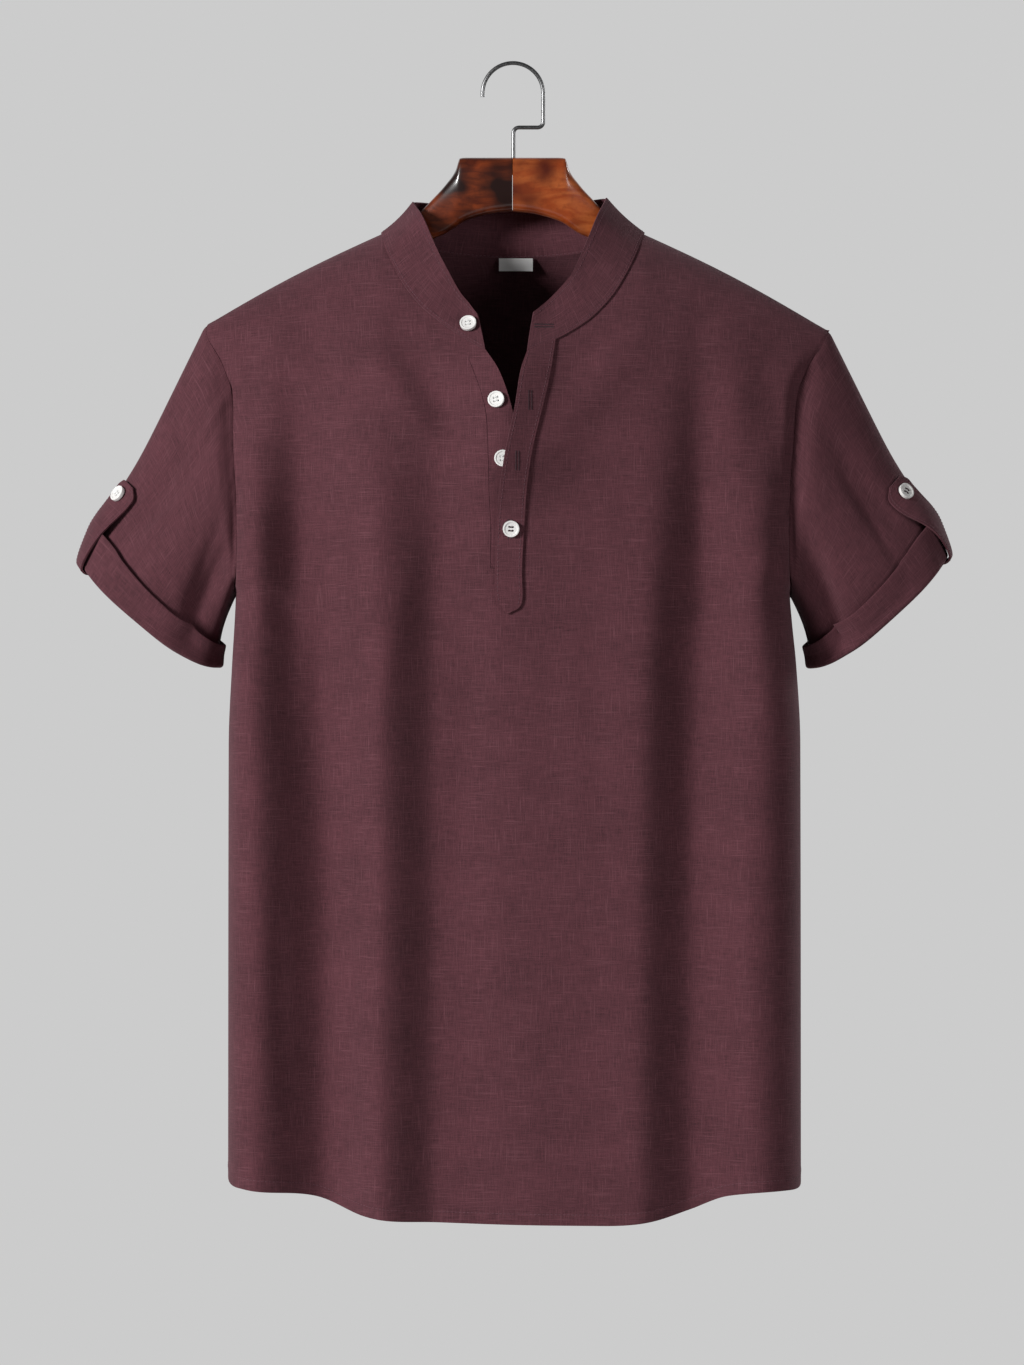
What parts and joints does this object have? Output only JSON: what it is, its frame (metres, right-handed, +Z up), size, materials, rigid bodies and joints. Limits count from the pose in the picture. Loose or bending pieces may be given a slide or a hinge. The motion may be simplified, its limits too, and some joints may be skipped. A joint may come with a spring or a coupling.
{
  "type": "mandarin collar shirt on wooden hanger",
  "caption": "Short-sleeved linen-look shirt with a band collar, half placket and tabbed turned-up cuffs, hanging on a contoured wooden hanger.",
  "frame": {"origin": "inside the top of the hanger's hook, where a rail bears", "axes": "+Z up, -Y out of the shirt's front towards the viewer, +X to the right of the viewer"},
  "size_m": [0.6443, 0.1912, 0.8517],
  "materials": {
    "shirt_cloth": "matte linen-look slub weave",
    "buttons": "glossy white with a soft pearl sheen",
    "label_cloth": "woven satin",
    "hanger_wood": "glossy red-brown lacquer",
    "hook_wire": "satin grey steel"
  },
  "bodies": {
    "root": {"front_panel": "shirt_cloth", "back_panel": "shirt_cloth", "sleeve_left": "shirt_cloth", "sleeve_right": "shirt_cloth", "cuff_left": "shirt_cloth", "cuff_right": "shirt_cloth", "tab_left": "shirt_cloth", "tab_right": "shirt_cloth", "collar_band": "shirt_cloth", "placket_under": "shirt_cloth", "placket_over": "shirt_cloth", "placket_button_1": "buttons", "placket_button_2": "buttons", "placket_button_3": "buttons", "placket_button_4": "buttons", "tab_button_left": "buttons", "tab_button_right": "buttons", "size_label": "label_cloth", "hanger_half_left": "hanger_wood", "hanger_half_right": "hanger_wood", "hanger_hook": "hook_wire"}
  },
  "joints": []
}
